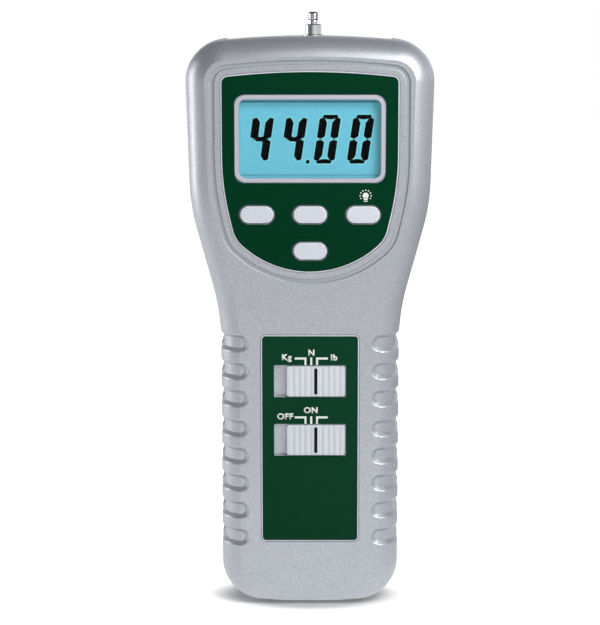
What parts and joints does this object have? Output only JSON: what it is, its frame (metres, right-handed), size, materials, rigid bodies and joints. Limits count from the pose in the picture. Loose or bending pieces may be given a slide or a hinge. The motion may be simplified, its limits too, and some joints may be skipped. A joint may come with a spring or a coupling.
{
  "type": "digital force gauge",
  "caption": "Handheld digital force gauge: waisted silver case, threaded sensing shaft on top, LCD in a green panel, press buttons, slide switches and a rear battery door.",
  "frame": {"origin": "middle of the foot that the gauge stands on, half way through its depth", "axes": "+X to the right of the display as it is read, -Y out of the display, +Z from the foot to the sensing shaft"},
  "size_m": [0.09, 0.045, 0.2176],
  "materials": {
    "case_paint": "satin silver metallic paint on moulded plastic",
    "overlay_film": "dark green printed film, semi-gloss",
    "label_film": "green printed film, satin",
    "clear_window": "clear acrylic, polished",
    "lcd": "cyan-blue liquid crystal glass with a polariser",
    "diffuser": "white light guide",
    "zebra_rubber": "layered conductive elastomer",
    "black_plastic": "moulded, fine matte",
    "button_plastic": "translucent white, slightly lilac, smooth",
    "knob_plastic": "pale grey moulded, satin",
    "plated_steel": "zinc and nickel plated steel",
    "board_laminate": "green solder resist on glass laminate",
    "machined_aluminium": "milled, plain",
    "turned_brass": "turned, plain",
    "bright_chrome": "turned and polished steel, plated",
    "cell_sleeve": "printed sleeve over a steel can"
  },
  "bodies": {
    "case": {"front_case": "case_paint", "rear_case": "case_paint", "upper_overlay": "overlay_film", "lower_overlay": "label_film", "display_window": "clear_window", "lcd_glass": "lcd", "backlight_panel": "diffuser", "elastomer_connectors": "zebra_rubber", "lcd_holder": "black_plastic", "key_switches": "black_plastic", "slide_switches": "plated_steel", "circuit_board": "board_laminate", "board_screws": "plated_steel", "board_chips": "black_plastic", "signal_jack": "black_plastic", "dc_jack": "black_plastic", "chassis_plate": "machined_aluminium", "chassis_screws": "plated_steel", "stand_bushes": "turned_brass", "load_block": "machined_aluminium", "load_cell": "machined_aluminium", "load_cell_screws": "plated_steel", "shaft_bush": "bright_chrome", "battery_tray": "black_plastic", "battery_cells": "cell_sleeve", "battery_contacts": "plated_steel", "case_screws": "plated_steel"},
    "sensing_head": {"sensing_shaft": "bright_chrome", "shaft_nut": "plated_steel"},
    "response_key": {"response_button": "button_plastic", "response_plunger": "black_plastic"},
    "zero_key": {"zero_button": "button_plastic", "zero_plunger": "black_plastic"},
    "backlight_key": {"backlight_button": "button_plastic", "backlight_plunger": "black_plastic"},
    "display_reverse_key": {"display_reverse_button": "button_plastic", "display_reverse_plunger": "black_plastic"},
    "unit_switch": {"unit_knob": "knob_plastic", "unit_slider": "black_plastic"},
    "power_switch": {"power_knob": "knob_plastic", "power_slider": "black_plastic"},
    "battery_door": {"battery_cover": "case_paint", "cover_screws": "plated_steel"}
  },
  "joints": [
    {"name": "sensing_travel", "type": "slide", "parent": "case", "child": "sensing_head", "axis": [0, 0, 1], "range_m": [-0.0003, 0.0003], "stiffness_N_per_m": 300000, "deforming": ["load_cell"]},
    {"name": "response_press", "type": "slide", "parent": "case", "child": "response_key", "axis": [0, 1, 0], "range_m": [0, 0.0008], "stiffness_N_per_m": 2500},
    {"name": "zero_press", "type": "slide", "parent": "case", "child": "zero_key", "axis": [0, 1, 0], "range_m": [0, 0.0008], "stiffness_N_per_m": 2500},
    {"name": "backlight_press", "type": "slide", "parent": "case", "child": "backlight_key", "axis": [0, 1, 0], "range_m": [0, 0.0008], "stiffness_N_per_m": 2500},
    {"name": "display_reverse_press", "type": "slide", "parent": "case", "child": "display_reverse_key", "axis": [0, 1, 0], "range_m": [0, 0.0008], "stiffness_N_per_m": 2500},
    {"name": "unit_slide", "type": "slide", "parent": "case", "child": "unit_switch", "axis": [1, 0, 0], "range_m": [-0.0042, 0]},
    {"name": "power_slide", "type": "slide", "parent": "case", "child": "power_switch", "axis": [1, 0, 0], "range_m": [-0.0042, 0]},
    {"name": "battery_door_lift", "type": "slide", "parent": "case", "child": "battery_door", "axis": [0, 1, 0], "range_m": [0, 0.02]}
  ]
}
